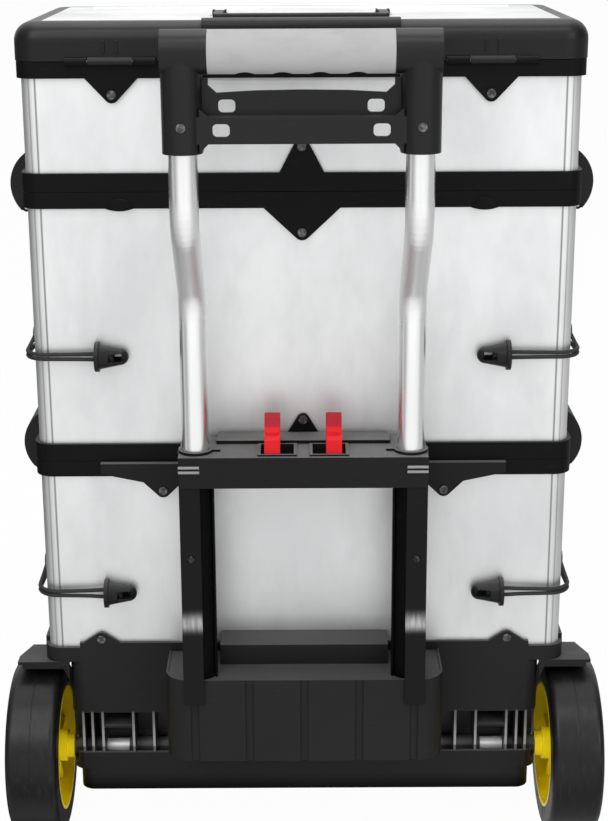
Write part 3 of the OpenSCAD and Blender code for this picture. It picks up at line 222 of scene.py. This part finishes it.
def make_floor():
    """A wide floor, white to the camera under a soft shadow; at both sides and behind,
    glossy surfaces find it dark, as if flags stood there."""
    bpy.ops.mesh.primitive_plane_add(size=FLOOR_SIZE, location=(0, 0, 0))
    floor = bpy.context.object
    floor.name = "floor"
    material = bpy.data.materials.new("pale floor")
    material.use_nodes = True
    tree = Tree(material.node_tree)
    ray = tree.node("LightPath")
    spot = tree.axes(tree.node("NewGeometry")["Position"])
    turned = spot[0].math("ARCTAN2", ROUND_Y - spot[1])
    flagged = turned.steps(*LEFT_FLAG).math("MINIMUM", turned.steps(*RIGHT_FLAG))
    ahead = flagged + turned.steps(*STRIP) * STRIP_LIGHT
    paint = tree.node("BsdfDiffuse", {}, grey(FLOOR_PAINT))[0]
    white = tree.node("Emission", {}, grey(1), 1.0)[0]
    flags = tree.node("Emission", {}, grey(1), ahead)[0]
    camera_sees = tree.node("MixShader", {}, ray["Is Camera Ray"] * (1 - SHADOW), paint, white)[0]
    bounce = tree.node("Emission", {}, grey(1), FLOOR_BOUNCE)[0]
    dull_sees = tree.node("MixShader", {}, ray["Is Diffuse Ray"], camera_sees, bounce)[0]
    shown = tree.node("MixShader", {}, ray["Is Glossy Ray"], dull_sees, flags)[0]
    tree.node("OutputMaterial", {}, shown)
    floor.data.materials.append(material)


# Lamps: name, place, aim, size and watts
LAMPS = (
    ("key", (-1.1, -2.2, 2.3), (0, 0, 0.4), (1.4, 1.0), 24),
    ("fill", (1.6, -2.0, 1.5), (0, 0, 0.4), (1.2, 1.2), 13),
    ("top", (0, 0.4, 2.6), (0, 0, 0.4), (1.6, 1.2), 14),
    ("low", (0, -1.9, 0.12), (0, 0, 0.12), (2.2, 0.2), 0.5),
    ("band", (0, -1.0, 2.4), (0, 0, 0.35), (2.2, 0.22), 16),
)


def add_lamp(name, place, aim, size, watts):
    """A rectangular lamp that shines on its aim."""
    data = bpy.data.lights.new(name, "AREA")
    data.shape = "RECTANGLE"
    data.size, data.size_y = size
    data.energy = watts
    lamp = bpy.data.objects.new(name, data)
    scene.collection.objects.link(lamp)
    lamp.location = place
    lamp.rotation_euler = (Vector(aim) - Vector(place)).to_track_quat("-Z", "Y").to_euler()


# ---------- finishes ----------

# Colours are linear; lengths and heights are in metres, and heights are over the ground.
BLACK_SHEEN = 0.22
# the tone of dust on upward faces, which also serves as a painted sheen there
DUST_AND_SHEEN = (0.30, 0.30, 0.295, 1)
# a painted highlight for small steps and edges
PAINTED_GLINT = grey(0.34)


def finish(name):
    """A new material, its tree, and the place on the piece in metres."""
    material = bpy.data.materials.new(name)
    material.use_nodes = True
    tree = Tree(material.node_tree)
    place = tree.node("TexCoord")["Object"]
    return material, tree, place


def close(tree, bump=None, distance=0.0002, strength=0.3, edge=0.0006, **values):
    """Ends a tree with one surface: distance and strength are the bump's, edge is the radius by which
    sharp edges catch the light, and values go to the surface's inputs."""
    rounded = tree.node("Bevel", {"samples": 6}, edge)[0] if edge else None
    normal = rounded
    if bump is not None:
        normal = tree.node("Bump", {}, Strength=strength, Distance=distance, Height=bump,
                           Normal=rounded)[0]
    shader = tree.node("BsdfPrincipled", {}, **values)
    if normal is not None:
        tree.put(shader.made.inputs["Normal"], normal)
    tree.node("OutputMaterial", {}, shader[0])


def moulded(name, colour, rough=0.42, grain=1400, top_dust_and_sheen=0.35, sheen=BLACK_SHEEN, change=None):
    """Moulded plastic with a spark-eroded grain, faint flow marks, scuffs, and pale dirt on upward
    faces and ledges that also serves as a painted sheen there.
    """
    material, tree, place = finish(name)
    fine = tree.noise(place, grain, 2)
    flow = tree.noise(place, 9, 4)
    scuff = tree.noise(place, 60, 5, (1, 1, 5)).step(0.62, 0.75)
    # dust on upward faces, which is also a painted sheen where top faces catch the sky
    dust_sheen_share = tree.facing()[2].step(0.6, 1.0) * flow.step(0.2, 0.8, 0.6, 1.0) * top_dust_and_sheen
    base = tree.blend(flow * 0.5, (*colour, 1), (*[c * 1.5 + 0.001 for c in colour], 1))
    shade = tree.blend((dust_sheen_share * 0.5 + scuff * 0.012).math("MINIMUM", 0.6), base, DUST_AND_SHEEN)
    if change:
        shade = change(tree, place, shade)
    close(tree, fine, 0.00012, 0.35, Base_Color=shade,
          Roughness=rough + fine * 0.1 + dust_sheen_share * 0.2 - flow * 0.08, IOR=1.5, Specular_IOR_Level=sheen)
    return material


# the straps' bend: where its painted highlight starts and is full, and where it fades and is gone
BEND_LOW = (0.2165, 0.2275)
BEND_HIGH = (0.2285, 0.2435)


def painted_bend_highlight(tree, place, colour):
    """The straps get a painted highlight where they bend."""
    height = tree.axes(place)[2]
    rear = tree.facing()[1].step(-0.9, -0.6, 1.0, 0.0)
    streak = tree.noise(place, 420, 3, (1, 1, 0.06)).step(0.3, 0.7, 0.55, 1.0)
    band = height.step(*BEND_LOW) * height.step(*BEND_HIGH, 1.0, 0.0)
    return tree.blend(band * band * rear * streak, colour, grey(0.42))


# from the face of the crossbar's steps to the face of the crossbar
STEP_FACE = (-0.1143, -0.1140)


def painted_step_highlight(tree, place, colour):
    """The small steps that stand out of the crossbar's face get a painted highlight."""
    return tree.blend(tree.axes(place)[1].step(*STEP_FACE, 0.75, 0.0), colour, PAINTED_GLINT)


# The base's painted shade and light: its foot is painted darker as shade, the recess at both sides of
# its middle is painted paler as light falling in, and the webs' edges and the sleeve in it get painted
# highlights. Except for the webs' edges, these marks go by place alone, so they also show on the base's
# sides and front.
FOOT_TOP = (0.040, 0.060)
RECESS_SIDE = (0.116, 0.118)
RECESS_FLOOR = (0.0665, 0.0675)
RECESS_ROOF = (0.116, 0.119)
RECESS_BACK = (-0.051, -0.0495)
WEBS = (0.133, 0.151, 0.178, 0.187, 0.195)
WEB_EDGE = (0.0009, 0.0013)
WEB_FOOT = (0.0835, 0.0845)
WEB_FADE = (0.088, 0.116)
SLEEVE_LOW = (0.0775, 0.0795)
SLEEVE_HIGH = (0.0835, 0.0850)


def painted_base_shade_and_light(tree, place, colour):
    """Painted shade and light on the base: its foot is painted darker as shade, its recess paler as
    painted light, and the webs' edges and the sleeve's top get painted highlights."""
    spot = tree.axes(place)
    side, height = abs(spot[0]), spot[2]
    # painted shade: the foot is painted darker than the rest of the base
    foot = tree.blend(height.step(*FOOT_TOP, 1.0, 0.0), colour, grey(0.0002))
    recess = side.step(*RECESS_SIDE) * height.step(*RECESS_FLOOR) * height.step(*RECESS_ROOF, 1.0, 0.0)
    # painted light: the recess is painted paler, as light that falls into it
    recess_light = tree.blend(recess * spot[1].step(*RECESS_BACK) * 0.9, foot, grey(0.055))
    rear = tree.facing()[1].step(-0.95, -0.8, 1.0, 0.0)
    # painted highlights on the webs' rear edges
    edges = sum(abs(side - web).step(*WEB_EDGE, 1.0, 0.0) for web in WEBS)
    edges = edges * rear * recess * height.step(*WEB_FOOT) * height.step(*WEB_FADE, 1.0, 0.4)
    edges = edges.math("MINIMUM", 1.0)
    edged = tree.blend(edges * 0.9, recess_light, PAINTED_GLINT)
    # painted highlight along the top of the sleeve
    sleeve = recess * height.step(*SLEEVE_LOW) * height.step(*SLEEVE_HIGH, 1.0, 0.0) * (1 - edges)
    return tree.blend(sleeve * 0.8, edged, grey(0.12))


# where the levers' hooks start
HOOK_FOOT = (0.3905, 0.3925)


def dark_hook(tree, place, colour):
    """The levers' upper hooks are a deeper red."""
    return tree.blend(tree.axes(place)[2].step(*HOOK_FOOT), colour, (0.34, 0.006, 0.014, 1))


# across: where the sheet starts to turn, and the second painted dark reflection from there
STEEL_TURN = 0.2105
SECOND_REFLECTION = 0.0052


def sheet_steel(corner_x):
    """Bright stainless sheet: brushed hairlines, soft clouds, wiping marks, a slight waviness, and thin
    painted dark reflections where the sheet turns round its corners."""
    material, tree, place = finish("stainless sheet")
    across = abs(tree.axes(place)[0] + (tree.noise(place, 3, 1) - 0.5) * 0.002)
    # painted dark reflections: two thin lines where the sheet turns round its corners
    line = abs(across - corner_x).step(0.0003, 0.0012, 1.0, 0.0)
    second = abs(across - corner_x - SECOND_REFLECTION).step(0.0003, 0.0009, 1.0, 0.0)
    hair = tree.noise(place, 900, 2, (0.02, 1, 1))
    cloud = tree.noise(place, 8, 5, (1, 1, 0.55), 0.6)
    wipe = tree.noise(place, 26, 5, (1, 1, 0.3), 0.65)
    wave = tree.noise(place, 5, 1, (1, 1, 0.5))
    cloudy = tree.blend(cloud.step(0.32, 0.68), (0.66, 0.665, 0.67, 1), (0.82, 0.825, 0.83, 1))
    wiped = tree.blend(wipe.step(0.48, 0.78) * 0.4, cloudy, (0.60, 0.605, 0.61, 1))
    colour = tree.blend((line * 0.75 + second * 0.45).math("MINIMUM", 1.0), wiped, grey(0.12))
    close(tree, wave * 6 + hair * 0.02, 0.001, 0.25, 0.0008, Base_Color=colour, Metallic=0.9,
          Roughness=0.36 + cloud * 0.1 + wipe * 0.1 + hair * 0.03)
    return material


# the tubes' double bend, which is duller: its lower and its upper end
BENT_LOW = (0.478, 0.494)
BENT_HIGH = (0.578, 0.594)


def chrome():
    """Chromed tube, softly polished along its length, hazy in places and duller at its double bend."""
    material, tree, place = finish("chromed tube")
    rub = tree.noise(place, 500, 3, (1, 1, 0.03))
    haze = tree.noise(place, 14, 4)
    height = tree.axes(place)[2]
    bent = height.step(*BENT_LOW) * height.step(*BENT_HIGH, 1.0, 0.0)
    colour = tree.blend(haze, grey(0.84), (0.92, 0.925, 0.93, 1))
    close(tree, rub, 0.00004, 0.15, 0, Base_Color=colour, Metallic=0.9,
          Roughness=0.2 + rub * 0.06 + haze.step(0.5, 0.8) * 0.06 + bent * 0.2)
    return material


def plated():
    """Dull plated steel with a fine mottle."""
    material, tree, place = finish("zinc plating")
    mottle = tree.noise(place, 260, 4)
    close(tree, mottle, 0.0001, 0.2, 0.0003, Base_Color=tree.blend(mottle, grey(0.38), grey(0.6)),
          Metallic=1.0, Roughness=0.3 + mottle * 0.25)
    return material


def bare_axle():
    """Bare steel axle with turning rings; its pale colour all round is a painted reflection."""
    material, tree, place = finish("bright axle")
    ring = tree.noise(place, 900, 2, (1, 0.05, 0.05))
    close(tree, ring, 0.00005, 0.15, 0, Base_Color=tree.blend(ring, grey(0.86), grey(0.95)),
          Metallic=0.25, Roughness=0.4 + ring * 0.1)
    return material


def soft_grip():
    """Light grey soft moulding, finely matt, darker where hands have held it."""
    material, tree, place = finish("grey grip")
    pore = tree.noise(place, 1800, 2)
    soil = tree.noise(place, 40, 5, (1, 1, 2))
    colour = tree.blend(soil.step(0.45, 0.8) * 0.5, grey(0.36), (0.29, 0.286, 0.28, 1))
    close(tree, pore, 0.0002, 0.3, 0.0008, Base_Color=colour, Roughness=0.62 + soil * 0.15)
    return material


def bright_plastic(name, colour, deep, change=None):
    """Coloured gloss plastic with slight depth in its colour and rubbed patches."""
    material, tree, place = finish(name)
    flow = tree.noise(place, 45, 3)
    fine = tree.noise(place, 900, 2)
    rub = tree.noise(place, 120, 5).step(0.55, 0.8)
    mixed = tree.blend(flow * 0.6, (*colour, 1), (*deep, 1))
    if change:
        mixed = change(tree, place, mixed)
    close(tree, fine, 0.0001, 0.2, 0.0007, Base_Color=mixed,
          Roughness=0.3 + rub * 0.2 + fine * 0.06, IOR=1.5, Specular_IOR_Level=0.2)
    return material


# across: the middle of each wheel
WHEEL_MIDDLE = 0.235


def tyre_rubber(name, middle_x=None):
    """Black rubber with a fine stipple and scuffs, and the mould's parting line round middle_x."""
    material, tree, place = finish(name)
    stipple = tree.noise(place, 1100, 2)
    scuff = tree.noise(place, 90, 6, (3, 1, 1)).step(0.5, 0.8)
    relief = stipple + scuff * 0.5
    colour = tree.blend(scuff * 0.4, (0.006, 0.006, 0.0062, 1), (0.026, 0.0255, 0.025, 1))
    if middle_x:
        off = abs(abs(tree.axes(place)[0]) - middle_x)
        relief = relief + off.step(0.0002, 0.0007, 3.0, 0.0)
        colour = tree.blend(off.step(0.0002, 0.0008, 0.6, 0.0), colour, grey(0.004))
    close(tree, relief, 0.0002, 0.35, 0.001, Base_Color=colour,
          Roughness=0.34 + scuff * 0.25, Specular_IOR_Level=0.26)
    return material


# the weave of the cords' sleeve: radians for each radius along, and threads round
ALONG, ROUND = 6, 4


def elastic():
    """Woven sleeve of an elastic cord: two sets of threads that cross over and under."""
    material, tree, _ = finish("elastic cord")
    run = tree.axes(tree.node("UVMap", {"uv_map": "run"})[0])
    one = (run[0] * ALONG + run[1] * ROUND).math("SINE")
    other = (run[0] * ALONG - run[1] * ROUND).math("SINE")
    braid = (one * other).step(-0.8, 0.8)
    close(tree, braid, 0.0003, 0.6, 0, Base_Color=tree.blend(braid, grey(0.004), grey(0.02)),
          Roughness=0.7)
    return material


def dull_screws(name="coated screws", dark=0.05, bright=0.22):
    """Steel with a dark phosphate coat that is worn bright in places."""
    material, tree, place = finish(name)
    wear = tree.noise(place, 420, 4).step(0.4, 0.75)
    close(tree, wear, 0.0001, 0.3, 0.0004, Base_Color=tree.blend(wear, grey(dark), grey(bright)),
          Metallic=0.6, Roughness=0.42 + wear * 0.15)
    return material


def dress_nodes():
    """Gives every CAD node its finish: its own, or the one of its slot in the record."""
    finishes = {
        "black_plastic": moulded("black moulding", (0.006, 0.006, 0.0063)),
        "yoke_plastic": moulded("yoke moulding", (0.0085, 0.0085, 0.009), 0.36, 1700, 0.2),
        "lid_plastic": moulded("lid moulding", (0.0062, 0.0062, 0.0065), 0.36, 1500, 0.3),
        "tray_plastic": moulded("tray moulding", (0.03, 0.03, 0.032), 0.5, 900, 0.4),
        "sheet_steel": sheet_steel(STEEL_TURN),
        "zinc_steel": plated(),
        "chrome_tube": chrome(),
        "grip_rubber": soft_grip(),
        "red_plastic":
            bright_plastic("red levers", (0.66, 0.008, 0.015), (0.56, 0.005, 0.010), dark_hook),
        "yellow_plastic": bright_plastic("yellow hubs", (0.95, 0.76, 0.006), (0.86, 0.64, 0.004)),
        "tyre_rubber": tyre_rubber("tyre", WHEEL_MIDDLE),
        "pad_rubber": tyre_rubber("foot pad"),
        "cord_elastic": elastic(),
    }
    own = {
        ("axle",): bare_axle(),
        ("bin_screws", "cabinet_screws", "toolbox_screws", "yoke_pins"): dull_screws(),
        # the legs are darker than the straps: painted shade, as the legs stand back in the straps'
        # shadow
        ("leg_left", "leg_right"):
            moulded("leg moulding", (0.0022, 0.0022, 0.0023), 0.45, 1400, 0.2, 0.03),
        # the straps carry a painted highlight where they bend
        ("leg_straps",):
            moulded("strap moulding", (0.0075, 0.0075, 0.0078), 0.45, 1400, 0.2, 0.07, painted_bend_highlight),
        # the crossbar's moulding: full dust on its top faces, partly a painted sheen where they catch
        # the sky, and a painted highlight on its steps
        ("crossbar", "tube_collars"):
            moulded("crossbar moulding", (0.0055, 0.0055, 0.0058), 0.4, 1400, 1.0, 0.16, painted_step_highlight),
        ("bin_rim", "cabinet_sill", "cabinet_rim", "toolbox_sill", "toolbox_rim"):
            moulded("rim moulding", (0.0036, 0.0036, 0.0038), 0.4, 1500, 0.2, 0.075),
        # the base: painted shade on its foot, painted light in its recess, painted highlights on the
        # webs and the sleeve
        ("base", "fender_left", "fender_right"):
            moulded("base moulding", (0.0135, 0.0135, 0.0140), 0.4, 1200, 0.5, 0.09, painted_base_shade_and_light),
    }
    for subpart in frame["record"]["subparts"]:
        name = subpart["node"]
        chosen = [made for names, made in own.items() if name in names]
        piece = nodes[name]
        piece.data.materials.clear()
        piece.data.materials.append(chosen[0] if chosen else finishes[subpart["material_slot"]])
    return finishes


# ---------- elastic cords ----------

# The route is laid out from the sheet's rear face, which stands at SHIFT.
SHIFT = -0.04925
CORD_R = 1.7 * MM
# the cord's middle stands this far out from the sheet, which turns at CORNER with the radius CORNER[1]
CORD_OUT = 6 * MM
CORNER = (211 * MM, 12 * MM)
CORNER_STEPS = 8
# the hook at the side, and the cord's loop round it
HOOK_Y = 72 * MM
LOOP_R = 5 * MM
# half the distance between the middles of both runs where they lie side by side
PINCH = 1.85 * MM
ANCHOR_X = 171 * MM
KNOT_X = ANCHOR_X - 11.5 * MM
KNOT_R = 5 * MM
KNOT_STEPS = 48
# the cords: box, body, height, and half the distance between both runs in the anchor
CORDS = (("cabinet", "cabinet", 442 * MM, 2.3 * MM), ("bin", "chassis", 231.8 * MM, 3 * MM))
SIDES = ((-1, "left"), (1, "right"))
SIDE_X = CORNER[0] + CORNER[1] + CORD_OUT
ROUTE_STEP = 2.5 * MM


def strand(height, gap, sign):
    """One run of a cord, from its knot round the corner towards the hook."""
    run = [Vector((ANCHOR_X - 9 * MM, -CORD_OUT, height + sign * gap)),
           Vector((ANCHOR_X + 3 * MM, -CORD_OUT, height + sign * gap)),
           Vector((ANCHOR_X + 14 * MM, -CORD_OUT, height + sign * (gap + PINCH) / 2))]
    reach = CORNER[1] + CORD_OUT
    for i in range(CORNER_STEPS + 1):
        turn = math.radians(i * 90 / CORNER_STEPS)
        run.append(Vector((CORNER[0] + reach * math.sin(turn), CORNER[1] - reach * math.cos(turn),
                           height + sign * PINCH)))
    run.append(Vector((SIDE_X, CORNER[1] + 15 * MM, height + sign * (PINCH + 0.6 * MM))))
    run.append(Vector((SIDE_X, HOOK_Y - 6 * MM, height + sign * LOOP_R)))
    return run


def cord_route(height, gap, side):
    """The whole way of a cord: out, round its hook and back, smoothed."""
    loop = [Vector((SIDE_X, HOOK_Y + LOOP_R * math.cos(math.radians(a)),
                    height + LOOP_R * math.sin(math.radians(a)))) for a in range(-90, 91, 20)]
    corners = strand(height, gap, -1) + loop + strand(height, gap, 1)[::-1]
    route = []
    for i in range(len(corners) - 1):
        before = corners[max(i - 1, 0)]
        after = corners[min(i + 2, len(corners) - 1)]
        start, end = corners[i], corners[i + 1]
        pull = (end - start).length
        lean_in = (end - before).normalized() * pull
        lean_out = (after - start).normalized() * pull
        steps = max(2, round(pull / ROUTE_STEP))
        for k in range(steps):
            t = k / steps
            route.append(start * (2 * t ** 3 - 3 * t ** 2 + 1) + lean_in * (t ** 3 - 2 * t ** 2 + t)
                         + end * (3 * t ** 2 - 2 * t ** 3) + lean_out * (t ** 3 - t ** 2))
    route.append(corners[-1])
    return [Vector((side * p.x, p.y + SHIFT, p.z)) for p in route]


def add_mesh(name, mesh, body, material):
    """Turns a bmesh into a piece that rides on a body."""
    data = bpy.data.meshes.new(name)
    mesh.to_mesh(data)
    mesh.free()
    data.materials.append(material)
    for face in data.polygons:
        face.use_smooth = True
    piece = bpy.data.objects.new(name, data)
    scene.collection.objects.link(piece)
    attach(piece, body)
    return piece


def tube_along(route, radius, sides=12):
    """A closed tube along a route, with UVs that run along it and round it in radii."""
    mesh = bmesh.new()
    uv = mesh.loops.layers.uv.new("run")
    rings = []
    across = Vector((0, 0, 1))
    travelled = [0.0]
    for i, point in enumerate(route):
        heading = (route[min(i + 1, len(route) - 1)] - route[max(i - 1, 0)]).normalized()
        across = (across - heading * across.dot(heading)).normalized()
        beside = heading.cross(across)
        rings.append([mesh.verts.new(point + radius * (across * math.cos(k * math.tau / sides)
                                                       + beside * math.sin(k * math.tau / sides)))
                      for k in range(sides)])
        if i:
            travelled.append(travelled[-1] + (point - route[i - 1]).length)
    for i in range(len(rings) - 1):
        for k in range(sides):
            near = (k + 1) % sides
            face = mesh.faces.new((rings[i][k], rings[i][near], rings[i + 1][near], rings[i + 1][k]))
            places = ((i, k), (i, k + 1), (i + 1, k + 1), (i + 1, k))
            for loop, (row, col) in zip(face.loops, places):
                loop[uv].uv = (travelled[row] / radius, col * math.tau / sides)
    mesh.faces.new(rings[0][::-1])
    mesh.faces.new(rings[-1])
    mesh.normal_update()
    bmesh.ops.recalc_face_normals(mesh, faces=mesh.faces)
    return mesh


def knot(place, radius):
    """An overhand knot, as three crossed lobes that swell round the cord's ends."""
    turns = []
    for i in range(KNOT_STEPS):
        a = i * math.tau / KNOT_STEPS
        turns.append(place + Vector((0.35 * radius * math.sin(3 * a) + 0.1 * radius,
                                     (math.sin(a) + 1.6 * math.sin(2 * a)) * radius * 0.32,
                                     (math.cos(a) - 1.6 * math.cos(2 * a)) * radius * 0.32)))
    return tube_along(turns + [turns[0]], radius * 0.42, 8)


def add_cords(material):
    """Both cords of each box, each with its knot; they stand for the plain ones."""
    for level, body, height, gap in CORDS:
        stands_for = "cords_" + level
        for side, word in SIDES:
            route = cord_route(height, gap, side)
            cord = add_mesh("cord_%s_%s" % (level, word), tube_along(route, CORD_R),
                            body, material)
            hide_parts(stands_for)
            middle = Vector((side * KNOT_X, SHIFT - CORD_OUT, height))
            tied = add_mesh("knot_%s_%s" % (level, word), knot(middle, KNOT_R),
                            body, material)
            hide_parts(stands_for)


# ---------- rivets ----------

def turned(profile, sides=20):
    """A closed form turned round Z from radii and heights that start and end on the axis."""
    mesh = bmesh.new()
    rings = []
    for radius, height in profile:
        if radius:
            rings.append([mesh.verts.new((radius * math.cos(k * math.tau / sides),
                                          radius * math.sin(k * math.tau / sides), height))
                          for k in range(sides)])
        else:
            rings.append([mesh.verts.new((0, 0, height))] * sides)
    for low, high in zip(rings, rings[1:]):
        for k in range(sides):
            near = (k + 1) % sides
            corners = [low[k], low[near], high[near], high[k]]
            mesh.faces.new([v for i, v in enumerate(corners) if v not in corners[:i]])
    bmesh.ops.recalc_face_normals(mesh, faces=mesh.faces)
    return mesh


# radii and heights of a rivet, from its foot in the strap to the top of its dome
RIVET = ((0, -2 * MM), (3.4 * MM, -2 * MM), (3.4 * MM, 0.3 * MM), (2.7 * MM, 1.3 * MM),
         (1.4 * MM, 1.9 * MM), (0, 2.1 * MM))
# from the strap's outer side to the rivet, the strap's rear face, and the rivets' height
RIVET_IN = 8.5 * MM
STRAP_FACE_Y = -0.0635 + SHIFT
STRAP_RIVET_Z = 0.285


def add_rivets(material):
    """Domed rivets, one through each strap."""
    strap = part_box("leg_straps")
    strap_x = max(abs(strap[0][0]), abs(strap[1][0]))
    to_rear = Matrix.Rotation(math.pi / 2, 4, "X")
    for side, word in SIDES:
        mesh = turned(RIVET)
        place = Matrix.Translation((side * (strap_x - RIVET_IN), STRAP_FACE_Y, STRAP_RIVET_Z))
        mesh.transform(place @ to_rear)
        add_mesh("strap_rivet_" + word, mesh, "chassis", material)


# ---------- the scene ----------

scene.view_settings.view_transform = "Standard"
make_camera()
make_world()
make_floor()
for lamp in LAMPS:
    add_lamp(*lamp)
finishes = dress_nodes()
add_cords(finishes["cord_elastic"])
add_rivets(dull_screws("black rivets", 0.006, 0.08))
